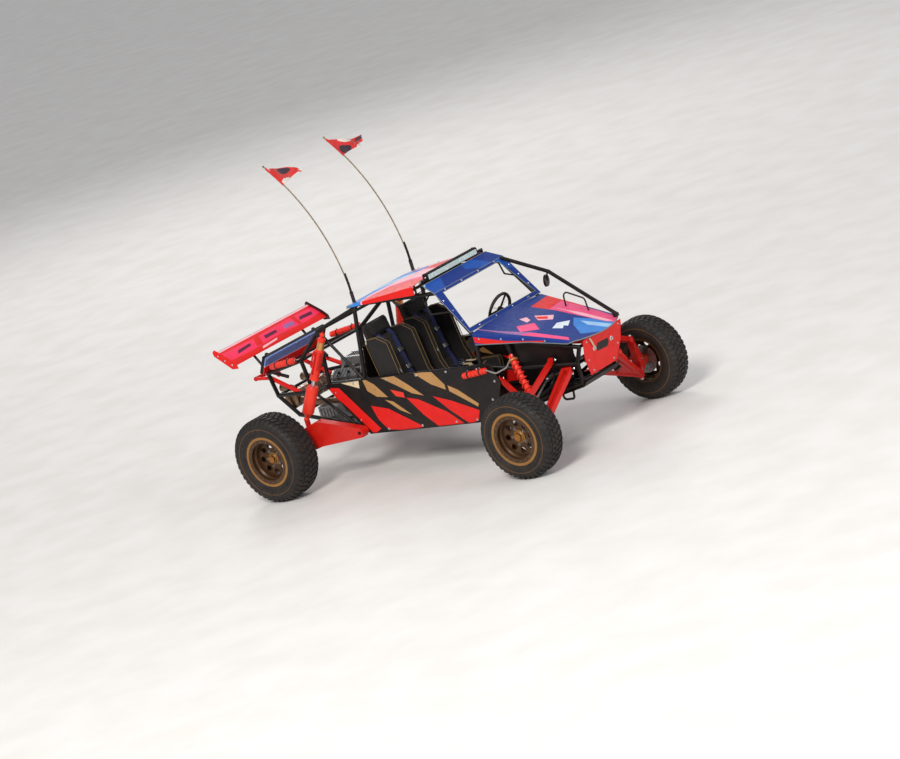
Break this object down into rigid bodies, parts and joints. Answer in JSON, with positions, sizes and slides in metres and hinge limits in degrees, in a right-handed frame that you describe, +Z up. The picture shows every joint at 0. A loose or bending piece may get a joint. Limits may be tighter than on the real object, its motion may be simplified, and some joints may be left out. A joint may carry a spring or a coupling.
{
  "type": "dune buggy",
  "caption": "Two-seat sand buggy with a black tube frame, blue hood and windshield ring, red roof, wing and arms, open rear engine and two flag whips.",
  "frame": {"origin": "on the ground under the middle of the car's length, on its centre plane", "axes": "+X ahead, +Y to the driver's side (left), +Z up"},
  "size_m": [3.966, 2.21, 2.9268],
  "materials": {
    "frame_black": "gloss",
    "panel_black": "gloss",
    "blue_paint": "gloss",
    "red_paint": "gloss",
    "arm_red": "gloss",
    "shock_red": "gloss",
    "bronze": "satin",
    "tyre_rubber": "matte",
    "steel": "satin",
    "cast_alloy": "cast",
    "exhaust_steel": "satin",
    "seat_cloth": "woven",
    "black_plastic": "matte",
    "flag_cloth": "woven"
  },
  "bodies": {
    "car": {"belly_pan": "panel_black", "coilovers": "shock_red", "dash": "black_plastic", "driver_bar": "frame_black", "engine": "cast_alloy", "exhaust": "exhaust_steel", "firewall": "panel_black", "flags": "flag_cloth", "frame_floor": "frame_black", "frame_main_hoop": "frame_black", "frame_nose_cross": "frame_black", "frame_nose_left": "frame_black", "frame_nose_right": "frame_black", "frame_rear": "frame_black", "frame_roof": "frame_black", "frame_sides": "frame_black", "front_arms": "arm_red", "front_plate": "red_paint", "gearbox": "cast_alloy", "hand_loops": "black_plastic", "hood": "blue_paint", "light_bar": "black_plastic", "nose_panels": "panel_black", "rear_bumper": "red_paint", "rear_wing": "red_paint", "roof_panel": "red_paint", "seat_mounts": "frame_black", "seats": "seat_cloth", "shock_reservoirs": "shock_red", "side_panels": "panel_black", "steering_column": "steel", "tail_deck": "red_paint", "trailing_arms": "arm_red", "whips": "black_plastic", "windshield_surround": "blue_paint"},
    "knuckle_left": {"knuckle_left": "arm_red"},
    "knuckle_right": {"knuckle_right": "arm_red"},
    "wheel_front_left": {"tyre_front_left": "tyre_rubber", "rim_front_left": "bronze"},
    "wheel_front_right": {"tyre_front_right": "tyre_rubber", "rim_front_right": "bronze"},
    "wheel_rear_left": {"tyre_rear_left": "tyre_rubber", "rim_rear_left": "bronze", "half_shaft_left": "steel"},
    "wheel_rear_right": {"tyre_rear_right": "tyre_rubber", "rim_rear_right": "bronze", "half_shaft_right": "steel"},
    "steering_rack": {"steering_rack": "steel"},
    "steering_wheel": {"steering_wheel": "black_plastic"}
  },
  "joints": [
    {"name": "steer_left", "type": "hinge", "parent": "car", "child": "knuckle_left", "pos_m": [1.558, 0.79, 0.37], "axis": [0, 0, 1], "range_deg": [-28, 28]},
    {"name": "steer_right", "type": "hinge", "parent": "car", "child": "knuckle_right", "pos_m": [1.558, -0.79, 0.37], "axis": [0, 0, 1], "range_deg": [-28, 28]},
    {"name": "rack_slide", "type": "slide", "parent": "car", "child": "steering_rack", "axis": [0, 1, 0], "range_m": [-0.054, 0.054]},
    {"name": "steering_wheel_turn", "type": "hinge", "parent": "car", "child": "steering_wheel", "pos_m": [0.65, 0.28, 1.15], "axis": [-0.9063, 0, 0.4226], "range_deg": [-253, 253]},
    {"name": "spin_front_left", "type": "hinge", "parent": "knuckle_left", "child": "wheel_front_left", "pos_m": [1.558, 0.96, 0.37], "axis": [0, 1, 0], "continuous": true},
    {"name": "spin_front_right", "type": "hinge", "parent": "knuckle_right", "child": "wheel_front_right", "pos_m": [1.558, -0.96, 0.37], "axis": [0, 1, 0], "continuous": true},
    {"name": "spin_rear_left", "type": "hinge", "parent": "car", "child": "wheel_rear_left", "pos_m": [-1.322, 0.96, 0.397], "axis": [0, 1, 0], "continuous": true},
    {"name": "spin_rear_right", "type": "hinge", "parent": "car", "child": "wheel_rear_right", "pos_m": [-1.322, -0.96, 0.397], "axis": [0, 1, 0], "continuous": true}
  ],
  "couplings": [
    {"joint": "steer_right", "follows": "steer_left", "ratio": 1},
    {"joint": "rack_slide", "follows": "steer_left", "m_per_rad": -0.11},
    {"joint": "steering_wheel_turn", "follows": "steer_left", "ratio": 9}
  ]
}
